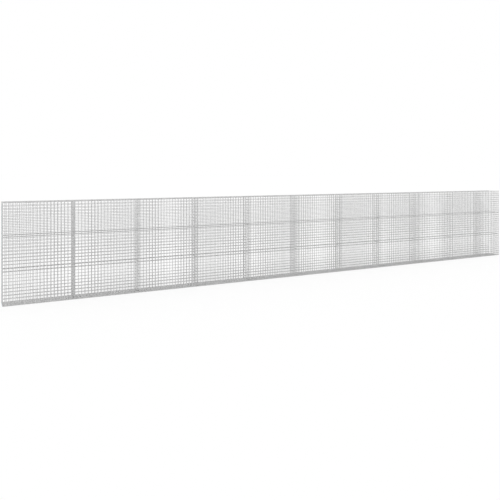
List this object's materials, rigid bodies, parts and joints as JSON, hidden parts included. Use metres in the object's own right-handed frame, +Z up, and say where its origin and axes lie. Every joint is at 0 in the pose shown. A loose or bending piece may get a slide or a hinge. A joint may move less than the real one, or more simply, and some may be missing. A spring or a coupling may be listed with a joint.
{
  "type": "gabion wall",
  "caption": "Long, narrow welded-mesh gabion wall of empty open-topped wire baskets, standing in tiers with a cross panel between the bays and a short closing bay at one end.",
  "frame": {"origin": "centre of the wall's footprint, at the underside of its base mesh", "axes": "+X along the wall towards the end with the short bay, -Y out of the front face, +Z up"},
  "size_m": [10.5, 0.31, 1.5076],
  "materials": {
    "galvanised_wire": "dull hot-dip galvanised"
  },
  "bodies": {
    "root": {"front_panel_01": "galvanised_wire", "front_panel_02": "galvanised_wire", "front_panel_03": "galvanised_wire", "front_panel_04": "galvanised_wire", "front_panel_05": "galvanised_wire", "front_panel_06": "galvanised_wire", "front_panel_07": "galvanised_wire", "front_panel_08": "galvanised_wire", "front_panel_09": "galvanised_wire", "front_panel_10": "galvanised_wire", "front_panel_11": "galvanised_wire", "back_panel_01": "galvanised_wire", "back_panel_02": "galvanised_wire", "back_panel_03": "galvanised_wire", "back_panel_04": "galvanised_wire", "back_panel_05": "galvanised_wire", "back_panel_06": "galvanised_wire", "back_panel_07": "galvanised_wire", "back_panel_08": "galvanised_wire", "back_panel_09": "galvanised_wire", "back_panel_10": "galvanised_wire", "back_panel_11": "galvanised_wire", "left_end_panel": "galvanised_wire", "right_end_panel": "galvanised_wire", "divider_01": "galvanised_wire", "divider_02": "galvanised_wire", "divider_03": "galvanised_wire", "divider_04": "galvanised_wire", "divider_05": "galvanised_wire", "divider_06": "galvanised_wire", "divider_07": "galvanised_wire", "divider_08": "galvanised_wire", "divider_09": "galvanised_wire", "divider_10": "galvanised_wire", "base_panel_01": "galvanised_wire", "base_panel_02": "galvanised_wire", "base_panel_03": "galvanised_wire", "base_panel_04": "galvanised_wire", "base_panel_05": "galvanised_wire", "base_panel_06": "galvanised_wire", "base_panel_07": "galvanised_wire", "base_panel_08": "galvanised_wire", "base_panel_09": "galvanised_wire", "base_panel_10": "galvanised_wire", "base_panel_11": "galvanised_wire"}
  },
  "joints": []
}
